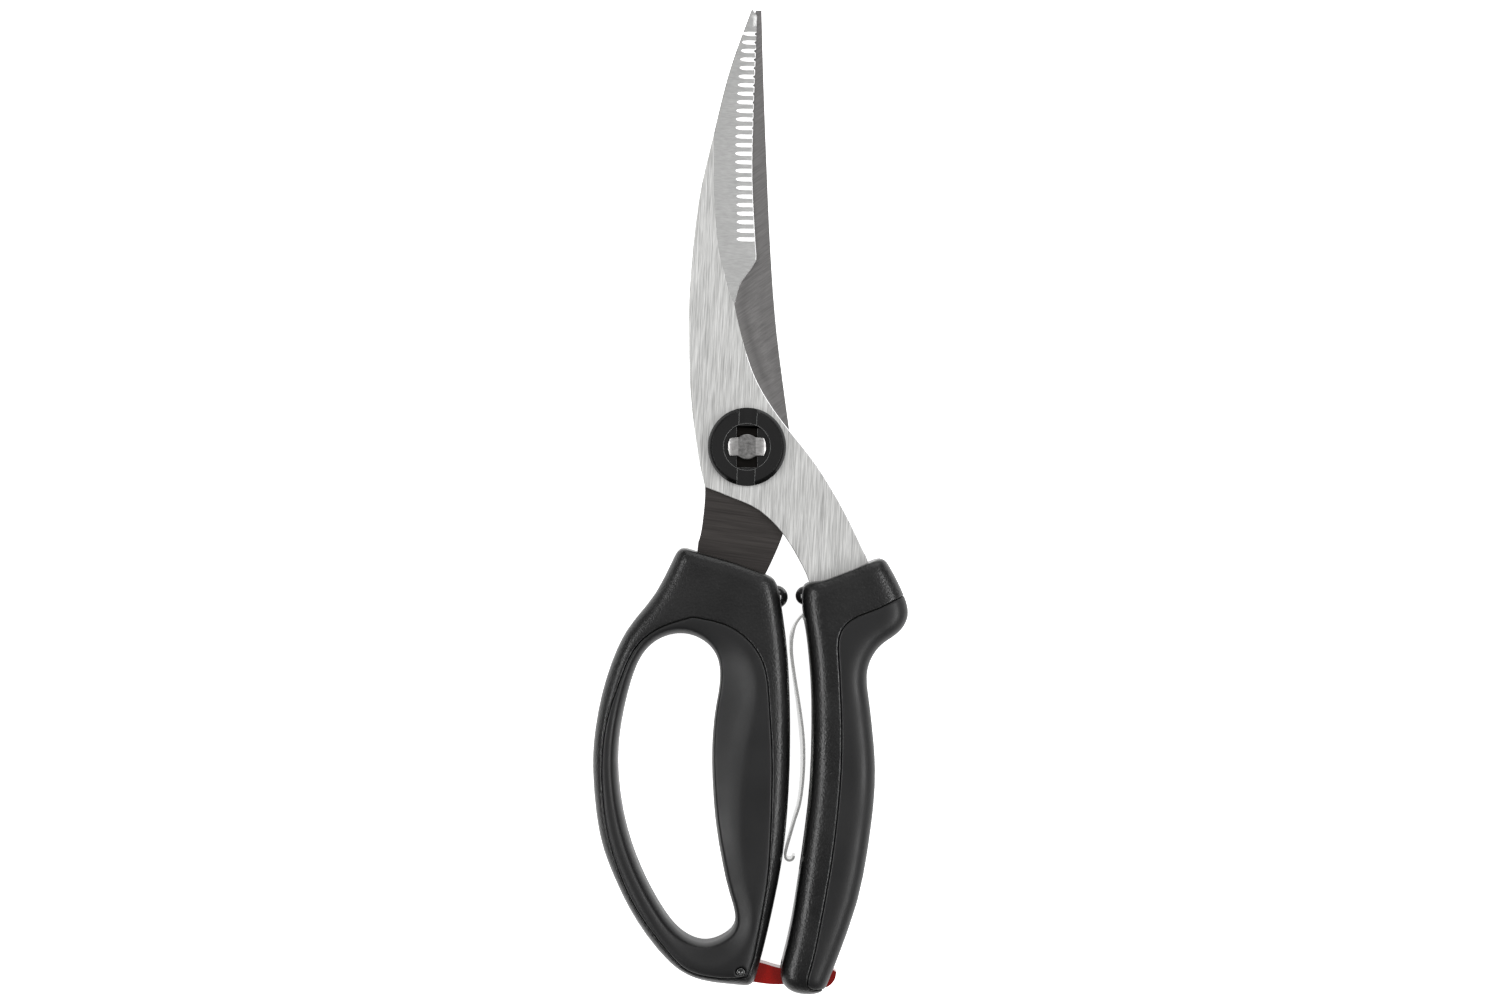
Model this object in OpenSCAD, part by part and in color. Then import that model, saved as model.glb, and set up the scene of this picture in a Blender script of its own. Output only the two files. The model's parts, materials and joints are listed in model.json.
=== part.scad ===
// Take-apart poultry shears, lying flat. +X runs from the loop handle to the straight handle,
// +Y towards the blade tips and +Z up, through the thickness. Outlines are drawn about the pivot
// with the blades' sliding plane at z = 0, and placed() moves them so that the handles rest on z = 0.

/* [Blades] */
// Thickness of each blade
blade_t = 2.5; // [2:0.1:2.5]
// Gap between the two blades
blade_gap = 0.2; // [0.1:0.05:0.3]
// Slope of the ground bevel, in degrees
bevel_slope = 10; // [6:0.5:10.5]
// Number of scallops along the cutting edge
scallops = 25; // [10:1:25]
// Distance from one scallop to the next
scallop_pitch = 2.57; // [2.2:0.01:2.57]
// Radius of a scallop's groove
scallop_r = 0.85; // [0.6:0.05:1]

/* [Pivot] */
// Outer radius of the plastic ring
ring_r = 11.7; // [11:0.1:12.5]
// Height of the ring above the front blade
ring_h = 3.8; // [3.4:0.1:4.5]
// Radius of the ring's recess
recess_r = 7; // [6.8:0.1:7.6]
// Radius of the ring's hub, which fills the hole in the front blade
hub_r = 7.6; // [7.2:0.1:8]
// Radius of the stud where the ring turns on it
stud_r = 2.9; // [2.5:0.1:3]
// Length of the stud's T head
head_l = 11.8; // [10:0.1:12]
// Width of the stud's T head
head_w = 5.6; // [5:0.1:5.8]

/* [Handles] */
// Thickness of both handles
handle_t = 20; // [18:0.5:22]
// Radius of the handles' long edges
edge_r = 5; // [3:0.5:5]
// Thickness of the soft grip over the hard core
soft_t = 2.5; // [2:0.1:2.5]
// Half the thickness of the hard rib inside the soft grip
rib_z = 6.5; // [5:0.5:6.5]

/* [Spring] */
// Thickness of the spring strip
strip_t = 0.7; // [0.5:0.05:0.8]
// Width of the spring strip
strip_w = 8; // [6:0.5:8.4]

/* [Latch] */
// Thickness of the latch arm
arm_t = 6; // [5:0.1:6]
// Radius of the latch pin
latch_pin_r = 1.3; // [1:0.1:1.4]

/* [Hidden] */

// Fit clearances
turn_gap = 0.05;
slot_gap = 0.25;

// Extremes of the outline about the pivot, which set the frame's origin
loop_side_x = -46;
grip_side_x = 48.2;
tip_y = 131.6;
end_y = -163.6;

blade_lo = blade_gap / 2;
blade_hi = blade_lo + blade_t;
half_t = handle_t / 2;
deep = handle_t + 10;

// Points of an open stretch of curve through the points p, without its last point
function blend_at(a, b, c, d, t) =
    0.5 * (2 * b + (c - a) * t + (2 * a - 5 * b + 4 * c - d) * t * t + (3 * b - a - 3 * c + d) * t * t * t);
function curve(p, n = 4) = [
    for (i = [0 : len(p) - 2])
        for (k = [0 : n - 1])
            blend_at(p[max(i - 1, 0)], p[i], p[i + 1], p[min(i + 2, len(p) - 1)], k / n)
];
// Points of a closed curve through the points p
function ring_curve(p, n = 4) = [
    for (i = [0 : len(p) - 1])
        for (k = [0 : n - 1])
            blend_at(p[(i + len(p) - 1) % len(p)], p[i], p[(i + 1) % len(p)], p[(i + 2) % len(p)], k / n)
];
function last_of(p) = [p[len(p) - 1]];

module placed() {
    translate([-(loop_side_x + grip_side_x) / 2, -(tip_y + end_y) / 2, half_t]) children();
}

module slab(lo, hi) {
    translate([0, 0, lo]) linear_extrude(hi - lo) children();
}

// A slab between -half_t and half_t whose long edges are rounded off in steps
edge_steps = 3;
module rounded_slab() {
    slab(edge_r - half_t, half_t - edge_r) children();
    for (side = [0, 1])
        mirror([0, 0, side])
            for (k = [1 : edge_steps]) {
                from = half_t - edge_r + edge_r * sin(90 * (k - 1) / edge_steps);
                to = half_t - edge_r + edge_r * sin(90 * k / edge_steps);
                inset = edge_r * (1 - cos(90 * (k - 0.5) / edge_steps));
                slab(from, to) offset(delta = -inset) children();
            }
}

// ---- Blades ----

tip_left = [1.5, tip_y];
front_spine = [
    tip_left, [-5.1, 113], [-9.9, 94], [-14.4, 74], [-17, 50], [-17.4, 32], [-16.6, 12], [-13.5, -9.5]
];
front_heel = [[-12.6, -12], [-5.8, -14.7], [3.4, -18.9], [10.8, -26.1], [16.6, -35.7], [19.2, -42]];
front_tang = [
    [22.8, -42.6], [23.8, -52], [24, -66], [25.5, -84], [25.5, -124], [29, -126], [32, -122],
    [33.2, -100], [33, -84], [31, -68], [32, -52], [38.2, -42]
];
front_shank = [[36.1, -33.7], [29.1, -19.2], [20.5, -5], [8.3, 10.7], [1.5, 23], [-3.4, 40]];
bone_notch = [[-3.7, 42.5], [-2.1, 48.6], [0.9, 52.9], [3, 56.2]];
front_edge = [[2.8, 57], [1.6, 80], [2, 102], [3.1, 129.5]];

module front_outline() {
    polygon(concat(
        curve(front_spine), curve(front_heel), front_tang,
        curve(front_shank), curve(bone_notch), curve(front_edge), last_of(front_edge)
    ));
}

rear_spine = [[4.4, tip_y - 0.4], [4.9, 112], [5.8, 87], [7.1, 58], [8.9, 34.5], [12.3, 8]];
rear_heel = [[13.4, 0], [13.6, -13], [10.8, -26.1], [5.2, -39]];
rear_tang = [
    [1.5, -46], [6, -60], [7, -84], [5.5, -118], [2.5, -124], [-1, -122], [-2.5, -104], [-3, -84],
    [-3, -60], [-9, -50], [-15.5, -38]
];
rear_shank = [[-14.7, -29], [-13.5, -23.7], [-12.6, -12], [-14, 4], [-11.5, 22], [-7.5, 50]];
rear_edge = [[-7.2, 52], [-5, 84], [-1.5, 112], [2.6, tip_y - 0.4]];

module rear_outline() {
    polygon(concat(
        curve(rear_spine), curve(rear_heel), rear_tang,
        curve(rear_shank), curve(rear_edge), last_of(rear_edge)
    ));
}

// The bevel starts at two straight hinge lines that meet here, the lower one turned by bevel_turn
bevel_x = -10;
bevel_y = 79.5;
bevel_turn = 9.7;
function bevel_run(x, y) = min(
    x - bevel_x,
    (x - bevel_x) * cos(bevel_turn) + (y - bevel_y) * sin(bevel_turn)
);
function bevel_z(x, y) = blade_hi - tan(bevel_slope) * max(0, bevel_run(x, y));

bevel_foot_y = 41;
cutter = 160;

module bevel_wedge(turn) {
    translate([bevel_x, bevel_y, blade_hi])
        rotate([0, 0, turn])
            rotate([0, bevel_slope, 0])
                translate([0, -cutter / 2, 0]) cube(cutter);
}

module bevel_cut() {
    intersection() {
        bevel_wedge(0);
        bevel_wedge(bevel_turn);
        translate([-cutter / 2, bevel_foot_y, 0]) cube(cutter);
    }
}

// A row of inclined grooves, each running out of the cutting edge
scallop_top_y = 124;
scallop_l = 12;
scallop_tilt = 5;
// The grooves' blind ends follow a half wave from scallop_end_x that bows left by scallop_bow
scallop_end_x = -1;
scallop_bow = 2.4;
module scallop_row() {
    for (i = [0 : scallops - 1]) {
        along = i / (scallops - 1);
        y = scallop_top_y - scallop_pitch * i;
        x = scallop_end_x - scallop_bow * sin(126 * min(1, along * 1.25));
        translate([x, y, bevel_z(x, y) + scallop_r])
            rotate([0, 90 + bevel_slope + scallop_tilt, 0])
                cylinder(r = scallop_r, h = scallop_l, $fn = 24);
    }
}

module front_blade() {
    color("silver")
        difference() {
            slab(blade_lo, blade_hi) front_outline();
            cylinder(r = hub_r, h = deep, center = true, $fn = 64);
            bevel_cut();
            scallop_row();
            tang_pin_places(grip_pin_spots) cylinder(r = tang_pin_r, h = deep, center = true, $fn = 24);
        }
}

// The rear blade's bevel is on its back, along its left edge
rear_bevel_at = [1.2, 84];
rear_bevel_turn = -3.5;
rear_bevel_slope = bevel_slope + 2;
rear_bevel_below = 34;

module rear_bevel_cut() {
    translate([rear_bevel_at[0], rear_bevel_at[1], -blade_hi])
        rotate([0, 0, rear_bevel_turn])
            mirror([1, 0, 0]) mirror([0, 0, 1])
                rotate([0, rear_bevel_slope, 0])
                    translate([0, -rear_bevel_below, 0]) cube(cutter);
}

module rear_blade() {
    color("dimgray")
        difference() {
            slab(-blade_hi, -blade_lo) rear_outline();
            cylinder(r = stud_neck_r, h = deep, center = true, $fn = 48);
            rear_bevel_cut();
            tang_pin_places(loop_pin_spots) cylinder(r = tang_pin_r, h = deep, center = true, $fn = 24);
        }
}

// ---- Pivot ----

stud_neck_r = 2.2;
ring_top = blade_hi + ring_h;
ring_floor = blade_hi + 1;
ring_chamfer = 1.2;
channel_w = 5.3;
channel_floor = ring_floor + 0.7;
head_lift = 0.15;
head_room = 0.6;
channel_turn = -2;
head_top = ring_top - 0.9;
boss_r = 3.8;
washer_t = 0.8;
washer_r = 6;
rivet_r = 3.6;
rivet_h = 0.9;

module pivot_ring() {
    color("black")
        difference() {
            union() {
                slab(blade_lo, blade_hi) circle(r = hub_r, $fn = 64);
                slab(blade_hi, ring_top - ring_chamfer) circle(r = ring_r, $fn = 96);
                translate([0, 0, ring_top - ring_chamfer])
                    cylinder(r1 = ring_r, r2 = ring_r - ring_chamfer, h = ring_chamfer, $fn = 96);
            }
            slab(ring_floor, ring_top + 1) circle(r = recess_r, $fn = 64);
            rotate([0, 0, channel_turn])
                translate([-channel_w / 2, -ring_r - 1, channel_floor])
                    cube([channel_w, 2 * ring_r + 2, ring_h]);
            slab(-1, ring_top) circle(r = stud_r + turn_gap, $fn = 48);
            slab(-1, ring_top) square([head_w + head_room, head_l + head_room], center = true);
        }
}

module pivot_stud() {
    color("lightgray")
        union() {
            slab(-blade_hi - washer_t - rivet_h, -blade_hi - washer_t) circle(r = rivet_r, $fn = 48);
            slab(-blade_hi - washer_t, -blade_lo) circle(r = stud_neck_r, $fn = 48);
            slab(-blade_lo, ring_floor + head_lift) circle(r = stud_r, $fn = 48);
            slab(ring_floor + head_lift, head_top)
                union() {
                    circle(r = boss_r, $fn = 48);
                    intersection() {
                        square([head_l, head_w], center = true);
                        circle(r = head_l / 2, $fn = 64);
                    }
                }
        }
}

module stud_washer() {
    color("gray")
        slab(-blade_hi - washer_t, -blade_hi)
            difference() {
                circle(r = washer_r, $fn = 64);
                circle(r = stud_neck_r, $fn = 48);
            }
}

// ---- Handle outlines ----

loop_outer = [
    [-20.5, -30.2], [-27.2, -43.5], [-36.4, -55.5], [-42, -69], [-45.2, -83.5], [loop_side_x, -97],
    [-44.1, -115], [-39.6, -128.5], [-32.5, -142.2], [-23, -154], [-14.5, -159], [-3, -160.7]
];
loop_corner = [[0.4, -161], [1.8, -160.3], [2.6, -158.5]];
loop_inner_side = [
    [2.6, -158.5], [6.2, -144.6], [10.6, -122.7], [12.5, -102], [12.9, -82], [12.2, -63], [10.4, -48],
    [8.9, -40.4]
];
loop_top = [[8.2, -39.2], [-4, -34.6], [-14.5, -31.6], [-19.4, -29.8]];

module loop_outline() {
    polygon(concat(curve(loop_outer, 3), loop_corner, curve(loop_inner_side, 3), loop_top));
}

loop_opening = [
    [-20, -55.7], [-13.2, -57.7], [-8.9, -62.7], [-8.1, -70], [-9.8, -81], [-10.5, -94], [-9.4, -112],
    [-6.4, -129], [-3.5, -140], [-5.2, -145.3], [-12.6, -148.4], [-20.3, -145], [-27, -136],
    [-33.3, -123], [-37.3, -109], [-38.8, -94], [-37.3, -80], [-33.2, -65.5], [-27.6, -58.2]
];
module opening_outline() {
    polygon(ring_curve(loop_opening, 3));
}

loop_seam = [
    [-16.2, -50.7], [-6.1, -53.1], [1.3, -58.5], [5.5, -66.5], [6.8, -79.5], [7.5, -97], [6.6, -124.5],
    [4.4, -140], [1.4, -156]
];
loop_seam_back = [
    [0.2, -157.9], [-7.6, -158.3], [-17.4, -156.2], [-23.8, -150], [-32.7, -138], [-38.4, -125.6],
    [-42, -112], [-43.2, -96], [-42, -83], [-38.6, -72], [-33.7, -60.5], [-26.5, -54.2], [-16.2, -50.7]
];
module loop_soft_outline() {
    polygon(concat(curve(loop_seam, 3), curve(loop_seam_back, 3)));
}

grip_outer = [
    [40.9, -32.9], [45.3, -40.8], [grip_side_x, -49.2], [45.8, -55], [39.2, -60], [35.8, -67.6],
    [37, -80], [38.3, -96], [37.1, -113], [32.9, -136], [23.8, -161.2]
];
grip_end = [[23.6, -161.4], [22, -163], [18, end_y], [13.2, -162.6], [10.3, -159.6], [10, -156]];
grip_inner_side = [
    [10, -156], [13.2, -142.7], [16.4, -122], [18.9, -100.5], [19.4, -76], [18.2, -59], [16.8, -50],
    [16.3, -42]
];
grip_top = [[17, -40.6], [23, -40], [32, -36.6], [39.4, -33.2]];

module grip_outline() {
    polygon(concat(
        curve(grip_outer, 3), curve(grip_end, 3), curve(grip_inner_side, 3), grip_top
    ));
}

grip_seam = [
    [55, -41], [46.2, -44.7], [38.9, -48.3], [31, -51.6], [27.3, -57], [27.6, -68], [28.2, -85],
    [27.6, -102], [25.1, -124], [20.3, -150], [18, -159], [19.4, -161.8], [26, -161.4]
];
module grip_soft_outline() {
    polygon(concat(curve(grip_seam, 3), [[26, -161.4], [60, -161.4], [60, -41]]));
}

// ---- Tang pins ----

tang_pin_r = 1.5;
tang_pin_z = 6;
loop_pin_spots = [[-3, -44.5], [2, -78], [1.6, -112]];
grip_pin_spots = [[30.5, -47.5], [29, -78], [29.3, -112]];
module tang_pin_places(spots) {
    for (s = spots) translate([s[0], s[1], 0]) children();
}

module tang_pins(spots) {
    tang_pin_places(spots) cylinder(r = tang_pin_r, h = 2 * tang_pin_z, center = true, $fn = 24);
}

module loop_tang_pins() {
    color("gray") tang_pins(loop_pin_spots);
}

module grip_tang_pins() {
    color("gray") tang_pins(grip_pin_spots);
}

// ---- Latch and spring places ----

latch_x = -1.9;
latch_y = -156.3;
latch_sleeve_t = 0.6;
latch_eye_r = 3.3;
arm_hi = arm_t / 2;
slot_hi = arm_hi + slot_gap;
latch_pin_hi = half_t - 0.6;

eye_x = 18.4;
eye_y = -51;
spring_pin_r = 1;
spring_pin_hi = 6.5;
eye_in_r = spring_pin_r + turn_gap;
eye_out_r = eye_in_r + strip_t;
track_hi = strip_w / 2 + slot_gap + 0.2;
past_end = end_y - 6.4;

// ---- Loop handle ----

module loop_handle_body() {
    rounded_slab()
        difference() {
            loop_outline();
            opening_outline();
        }
}

module loop_rib_outline() {
    difference() {
        loop_soft_outline();
        offset(delta = soft_t) opening_outline();
    }
}

// Slot for the latch arm, open to the right and to the end
loop_slot_x = -7.4;
loop_slot_top = -152.5;
module loop_latch_slot() {
    slab(-slot_hi, slot_hi)
        translate([loop_slot_x, past_end]) square([22, loop_slot_top - past_end]);
}

module latch_pin_hole() {
    translate([latch_x, latch_y, 0])
        cylinder(r = latch_pin_r, h = deep, center = true, $fn = 32);
}

// Relief for the spring's bow when the handles are squeezed
relief_at = [9.5, -72];
relief_size = [10, 20];

module loop_handle_core() {
    color("#1b1b1c")
        difference() {
            union() {
                difference() {
                    loop_handle_body();
                    slab(-deep, deep) loop_soft_outline();
                }
                slab(-rib_z, rib_z) loop_rib_outline();
            }
            slab(-blade_hi, -blade_lo) rear_outline();
            tang_pins(loop_pin_spots);
            loop_latch_slot();
            latch_pin_hole();
            bumper(loop_bumper_at, loop_bumper_r, 1);
            slab(-track_hi, track_hi) translate(relief_at) square(relief_size);
        }
}

module loop_handle_liner() {
    color("#2e2e30")
        difference() {
            intersection() {
                loop_handle_body();
                slab(-deep, deep) loop_soft_outline();
            }
            slab(-rib_z, rib_z) loop_rib_outline();
            loop_latch_slot();
            latch_pin_hole();
        }
}

// ---- Bumpers ----

loop_bumper_at = [8.8, -45];
loop_bumper_r = 3.5;
grip_bumper_at = [17.4, -44.6];
grip_bumper_r = 2.9;
stem_r = 1.8;
stem_l = 4.4;
shoulder_l = 1.5;

// A dome of radius r that points along X by side, on a short shoulder and a stem
module bumper(at, r, side) {
    translate([at[0], at[1], 0])
        rotate([0, 90 * side, 0])
            rotate_extrude($fn = 48)
                polygon(concat(
                    [for (a = [90 : -10 : 0]) [r * cos(a), r * sin(a)]],
                    [[r, -shoulder_l], [stem_r, -shoulder_l], [stem_r, -stem_l], [0, -stem_l]]
                ));
}

module loop_bumper() {
    color("#101010") bumper(loop_bumper_at, loop_bumper_r, 1);
}

module grip_bumper() {
    color("#101010") bumper(grip_bumper_at, grip_bumper_r, -1);
}

// ---- Straight grip handle ----

module grip_rib_outline() {
    intersection() {
        grip_soft_outline();
        offset(delta = -soft_t) grip_outline();
    }
}

// Slot for the latch arm, open to both sides and to the end
grip_slot_top = -154.2;
module grip_latch_slot() {
    slab(-slot_hi, slot_hi) translate([0, past_end]) square([40, grip_slot_top - past_end]);
}

// Track in the inner side that takes the spring when the handles are squeezed
track_x = [8, 21.5];
track_y = [-127, -52];
eye_room = 0.5;
mouth_top = -47.9;

module spring_track() {
    slab(-track_hi, track_hi) {
        translate([track_x[0], track_y[0]]) square([track_x[1] - track_x[0], track_y[1] - track_y[0]]);
        translate([track_x[0], track_y[1]]) square([eye_x - track_x[0], mouth_top - track_y[1]]);
        translate([eye_x, eye_y]) circle(r = eye_out_r + eye_room, $fn = 32);
    }
}

module spring_pin_hole() {
    translate([eye_x, eye_y, 0])
        cylinder(r = spring_pin_r, h = 2 * spring_pin_hi, center = true, $fn = 32);
}

module grip_handle_core() {
    color("#1b1b1c")
        difference() {
            union() {
                difference() {
                    rounded_slab() grip_outline();
                    slab(-deep, deep) grip_soft_outline();
                }
                slab(-rib_z, rib_z) grip_rib_outline();
            }
            slab(blade_lo, blade_hi) front_outline();
            tang_pins(grip_pin_spots);
            grip_latch_slot();
            bumper(grip_bumper_at, grip_bumper_r, -1);
            spring_track();
            spring_pin_hole();
            latch_catch();
            catch_pin();
        }
}

module grip_handle_pad() {
    color("#2e2e30")
        difference() {
            intersection() {
                rounded_slab() grip_outline();
                slab(-deep, deep) grip_soft_outline();
            }
            slab(-rib_z, rib_z) grip_rib_outline();
            grip_latch_slot();
        }
}

// ---- Spring ----

// Middle line of the strip from its rolled eye to the start of the end curl
strip_line = [
    [16.9, -50.2], [15.3, -51.9], [14.1, -54.6], [13.4, -60], [14.1, -67], [16, -79], [17, -88],
    [17, -97], [16, -106], [14.2, -112], [11.9, -120], [11.4, -122.4]
];
curl_r = 1.3;

function strip_side(line, d) = [
    for (i = [0 : len(line) - 1])
        let (
            a = line[max(i - 1, 0)],
            b = line[min(i + 1, len(line) - 1)],
            run = norm(b - a)
        )
        [line[i][0] + d * (b[1] - a[1]) / run, line[i][1] - d * (b[0] - a[0]) / run]
];

module strip_outline() {
    line = concat(curve(strip_line, 4), last_of(strip_line));
    far = strip_side(line, -strip_t / 2);
    polygon(concat(
        strip_side(line, strip_t / 2),
        [for (i = [0 : len(far) - 1]) far[len(far) - 1 - i]]
    ));
}

module curl_outline() {
    translate([last_of(strip_line)[0][0] + curl_r, last_of(strip_line)[0][1]])
        difference() {
            circle(r = curl_r + strip_t / 2, $fn = 48);
            circle(r = curl_r - strip_t / 2, $fn = 48);
            translate([-5, turn_gap]) square([10, 5]);
        }
}

module leaf_spring() {
    color("gainsboro")
        slab(-strip_w / 2, strip_w / 2) {
            difference() {
                union() {
                    translate([eye_x, eye_y]) circle(r = eye_out_r, $fn = 48);
                    strip_outline();
                }
                translate([eye_x, eye_y]) circle(r = eye_in_r, $fn = 48);
            }
            curl_outline();
        }
}

module spring_pin() {
    color("gray") spring_pin_hole();
}

// ---- Latch ----

arm_top = [[2, -153.9], [5, -154.6], [10, -156], [16, -156.3], [22, -155.9], [25.6, -156]];
arm_tab = [[26.8, -157.2], [26.2, -159.6], [24.4, -161.5], [22.6, -161.8], [21.4, -161]];
arm_under = [[19.6, -160.4], [14, -160.7], [8, -160.9], [2, -160.2], [-1.5, -159.5]];

module arm_outline() {
    polygon(concat(curve(arm_top), curve(arm_tab), curve(arm_under), [[-2.5, -157]]));
}

module latch_arm() {
    color("crimson")
        difference() {
            union() {
                slab(-arm_hi, arm_hi) arm_outline();
                translate([latch_x, latch_y, 0])
                    cylinder(r = latch_eye_r, h = arm_t, center = true, $fn = 64);
            }
            translate([latch_x, latch_y, 0])
                cylinder(r = latch_pin_r + latch_sleeve_t + turn_gap, h = deep, center = true, $fn = 48);
        }
}

module latch_pin() {
    color("lightgray")
        translate([latch_x, latch_y, 0])
            cylinder(r = latch_pin_r, h = 2 * latch_pin_hi, center = true, $fn = 32);
}

module latch_sleeve() {
    color("tan")
        translate([latch_x, latch_y, 0])
            difference() {
                cylinder(r = latch_pin_r + latch_sleeve_t, h = 2 * slot_hi - 2 * turn_gap, center = true, $fn = 48);
                cylinder(r = latch_pin_r, h = deep, center = true, $fn = 32);
            }
}

// Spring clip: two leaves beside the arm, joined by a bridge above the slot
catch_t = 0.4;
catch_lo = arm_hi + 0.1;
catch_hi = catch_lo + catch_t;
catch_x = [12.6, 17.4];
catch_w = catch_x[1] - catch_x[0];
catch_bottom = -161.6;
catch_top = grip_slot_top + 4.4;
catch_pin_at = [15, -151.6];
catch_pin_r = 0.8;

module catch_leaf() {
    translate([catch_x[0], catch_bottom]) square([catch_w, catch_top - catch_bottom]);
}

module latch_catch() {
    color("lightsteelblue")
        difference() {
            union() {
                for (side = [0, 1]) mirror([0, 0, side]) slab(catch_lo, catch_hi) catch_leaf();
                slab(-catch_hi, catch_hi)
                    translate([catch_x[0], catch_top - catch_t]) square([catch_w, catch_t]);
            }
            catch_pin_body();
        }
}

module catch_pin_body() {
    translate([catch_pin_at[0], catch_pin_at[1], 0])
        cylinder(r = catch_pin_r, h = 2 * spring_pin_hi, center = true, $fn = 24);
}

module catch_pin() {
    color("gray") catch_pin_body();
}

placed() front_blade();
placed() rear_blade();
placed() pivot_ring();
placed() pivot_stud();
placed() stud_washer();
placed() loop_handle_core();
placed() loop_handle_liner();
placed() loop_bumper();
placed() loop_tang_pins();
placed() grip_handle_core();
placed() grip_handle_pad();
placed() grip_bumper();
placed() grip_tang_pins();
placed() leaf_spring();
placed() spring_pin();
placed() latch_arm();
placed() latch_pin();
placed() latch_sleeve();
placed() latch_catch();
placed() catch_pin();
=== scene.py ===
"""Looks for the poultry shears. Shapes are worked out in millimetres about the blade pivot, with the
blades' sliding plane at z = 0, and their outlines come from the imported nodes' own walls."""

import json
import math

import bmesh
import bpy
import mathutils
import numpy as np
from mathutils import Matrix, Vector


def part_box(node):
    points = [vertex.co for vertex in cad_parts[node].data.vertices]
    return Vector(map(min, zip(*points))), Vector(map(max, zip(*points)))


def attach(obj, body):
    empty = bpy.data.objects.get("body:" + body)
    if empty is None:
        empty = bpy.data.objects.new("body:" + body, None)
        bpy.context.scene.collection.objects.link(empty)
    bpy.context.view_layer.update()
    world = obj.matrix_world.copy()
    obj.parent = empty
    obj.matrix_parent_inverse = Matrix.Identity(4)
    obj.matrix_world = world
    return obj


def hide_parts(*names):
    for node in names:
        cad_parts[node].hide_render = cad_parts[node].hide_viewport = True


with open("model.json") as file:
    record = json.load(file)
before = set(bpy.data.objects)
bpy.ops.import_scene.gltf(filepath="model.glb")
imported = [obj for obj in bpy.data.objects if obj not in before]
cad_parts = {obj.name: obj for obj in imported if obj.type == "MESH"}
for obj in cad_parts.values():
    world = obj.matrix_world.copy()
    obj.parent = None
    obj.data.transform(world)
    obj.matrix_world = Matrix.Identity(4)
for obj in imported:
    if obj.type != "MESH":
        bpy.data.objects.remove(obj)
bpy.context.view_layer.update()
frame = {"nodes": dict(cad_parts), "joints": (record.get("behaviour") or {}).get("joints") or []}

MM = 0.001
JOINTS = {j["name"]: j for j in frame["joints"]}
PIVOT = np.array(JOINTS["blade_pivot"]["pos_m"])
LATCH = (np.array(JOINTS["latch_swing"]["pos_m"]) - PIVOT) / MM
EYE = (np.array(JOINTS["spring_flex"]["pos_m"]) - PIVOT) / MM


def box_mm(node):
    """A node's lowest and highest corner in millimetres about the pivot."""
    lo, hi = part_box(node)
    return (np.array(lo) - PIVOT) / MM, (np.array(hi) - PIVOT) / MM


HALF_T = box_mm("grip_handle_core")[1][2]
SECTION_Z = 4.7  # just under the start of the rounded edges, above every slot
SEAM_Z = 6.8  # above the hard rib, where the core and the soft grip meet at the seam

# ---------------------------------------------------------------- camera and light

VIEW_W = 0.45  # width of the plane at VIEW_Z that the picture shows
VIEW_D = 0.9  # distance from that plane to the camera
VIEW_Z = 0.011
CAMERA_XY = (-0.0002, 0.0001)
SENSOR = 36.0
CLIP_END = 10

cam_data = bpy.data.cameras.new("camera")
cam_data.sensor_width = SENSOR
cam_data.lens = SENSOR * VIEW_D / VIEW_W
cam_data.clip_end = CLIP_END
camera = bpy.data.objects.new("camera", cam_data)
camera.location = (*CAMERA_XY, VIEW_Z + VIEW_D)
bpy.context.scene.collection.objects.link(camera)
bpy.context.scene.camera = camera


def area_light(name, place, target, size, power):
    """A white rectangular lamp at place that faces target, in metres and watts."""
    data = bpy.data.lights.new(name, "AREA")
    data.shape = "RECTANGLE"
    data.size, data.size_y = size
    data.energy = power
    lamp = bpy.data.objects.new(name, data)
    lamp.location = place
    lamp.rotation_euler = (Vector(target) - Vector(place)).to_track_quat("-Z", "Y").to_euler()
    bpy.context.scene.collection.objects.link(lamp)


area_light("overhead", (0.05, 0.42, 1.45), (0, 0, 0), (1.0, 1.0), 2.3)
area_light("left_strip", (-0.62, -0.13, 0.72), (0, -0.06, 0.01), (0.8, 0.22), 5.8)
area_light("right_strip", (0.62, -0.13, 0.72), (0, -0.06, 0.01), (0.8, 0.22), 6.8)
area_light("far_strip", (0.15, 0.85, 0.5), (0, 0, 0.01), (1.0, 0.45), 4)

WORLD_STRENGTH = 0.26
world = bpy.data.worlds.new("studio")
world.use_nodes = True
background = world.node_tree.nodes["Background"]
background.inputs["Color"].default_value = (1, 1, 1, 1)
background.inputs["Strength"].default_value = WORLD_STRENGTH
bpy.context.scene.world = world
bpy.context.scene.view_settings.view_transform = "Standard"

# ---------------------------------------------------------------- materials


def new_material(name, colour, roughness, metallic=0.0, **sockets):
    """A Principled material, and its node tree and shader."""
    mat = bpy.data.materials.new(name)
    mat.use_nodes = True
    tree = mat.node_tree
    shader = tree.nodes["Principled BSDF"]
    shader.inputs["Base Color"].default_value = (*colour, 1)
    shader.inputs["Roughness"].default_value = roughness
    shader.inputs["Metallic"].default_value = metallic
    for socket, value in sockets.items():
        shader.inputs[socket.replace("_", " ")].default_value = value
    return mat, tree, shader


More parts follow.
